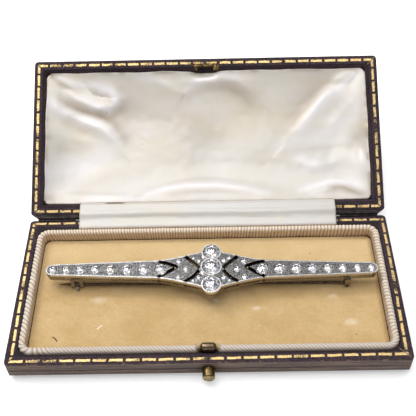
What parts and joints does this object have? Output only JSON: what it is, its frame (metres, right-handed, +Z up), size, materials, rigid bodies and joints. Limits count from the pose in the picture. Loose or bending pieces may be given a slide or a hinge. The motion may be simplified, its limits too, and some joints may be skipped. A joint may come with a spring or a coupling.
{
  "type": "bar brooch in a hinged jewel case",
  "caption": "Long platinum bar brooch set with round diamonds, lying on the velvet pad of its open leather case with satin-lined lid.",
  "frame": {"origin": "middle of the case's flat underside", "axes": "+X to the right along the case and the bar, +Y to the hinge at the back, +Z up"},
  "size_m": [0.094, 0.0875, 0.0293],
  "materials": {
    "leather": "dark aubergine morocco leather with gilt tooling",
    "velvet": "short cream velvet",
    "cord": "twisted silk cord",
    "satin": "ivory satin",
    "platinum": "polished platinum with beaded edges",
    "pin_metal": "white gold wire, lightly worn",
    "diamond": "old round cut",
    "old_brass": "tarnished brass",
    "keeper_brass": "worn brass",
    "hinge_metal": "dark oxidised steel"
  },
  "bodies": {
    "base": {"case_base": "leather", "pad": "velvet", "edge_cord": "cord", "hinge_base_leaf": "hinge_metal", "hinge_pin": "hinge_metal", "hinge_ribbon": "satin", "bar_frame": "platinum", "pin_stem": "pin_metal", "pin_rivet": "pin_metal", "catch_sleeve": "pin_metal", "collet_stone_upper": "diamond", "collet_stone_middle": "diamond", "collet_stone_lower": "diamond", "row_stone_left_1": "diamond", "row_stone_left_2": "diamond", "row_stone_left_3": "diamond", "row_stone_left_4": "diamond", "row_stone_left_5": "diamond", "row_stone_left_6": "diamond", "row_stone_left_7": "diamond", "row_stone_left_8": "diamond", "row_stone_right_1": "diamond", "row_stone_right_2": "diamond", "row_stone_right_3": "diamond", "row_stone_right_4": "diamond", "row_stone_right_5": "diamond", "row_stone_right_6": "diamond", "row_stone_right_7": "diamond", "row_stone_right_8": "diamond", "chevron_stone_left_upper": "diamond", "chevron_stone_left_middle": "diamond", "chevron_stone_left_lower": "diamond", "chevron_stone_right_upper": "diamond", "chevron_stone_right_middle": "diamond", "chevron_stone_right_lower": "diamond", "corner_stone_left_upper_1": "diamond", "corner_stone_left_upper_2": "diamond", "corner_stone_left_lower_1": "diamond", "corner_stone_left_lower_2": "diamond", "corner_stone_right_upper_1": "diamond", "corner_stone_right_upper_2": "diamond", "corner_stone_right_lower_1": "diamond", "corner_stone_right_lower_2": "diamond"},
    "lid": {"case_lid": "leather", "lid_lining": "satin", "lid_keeper": "keeper_brass", "hinge_lid_leaf": "hinge_metal"},
    "catch": {"push_button": "old_brass", "catch_lug": "old_brass"}
  },
  "joints": [
    {"name": "lid_hinge", "type": "hinge", "parent": "base", "child": "lid", "pos_m": [0, 0.0222, 0.00665], "axis": [1, 0, 0], "range_deg": [0, 148.9], "deforming": ["hinge_ribbon"]},
    {"name": "catch_push", "type": "slide", "parent": "base", "child": "catch", "axis": [0, 1, 0], "range_m": [0, 0.0008], "stiffness_N_per_m": 300, "springref_m": -0.0005}
  ]
}
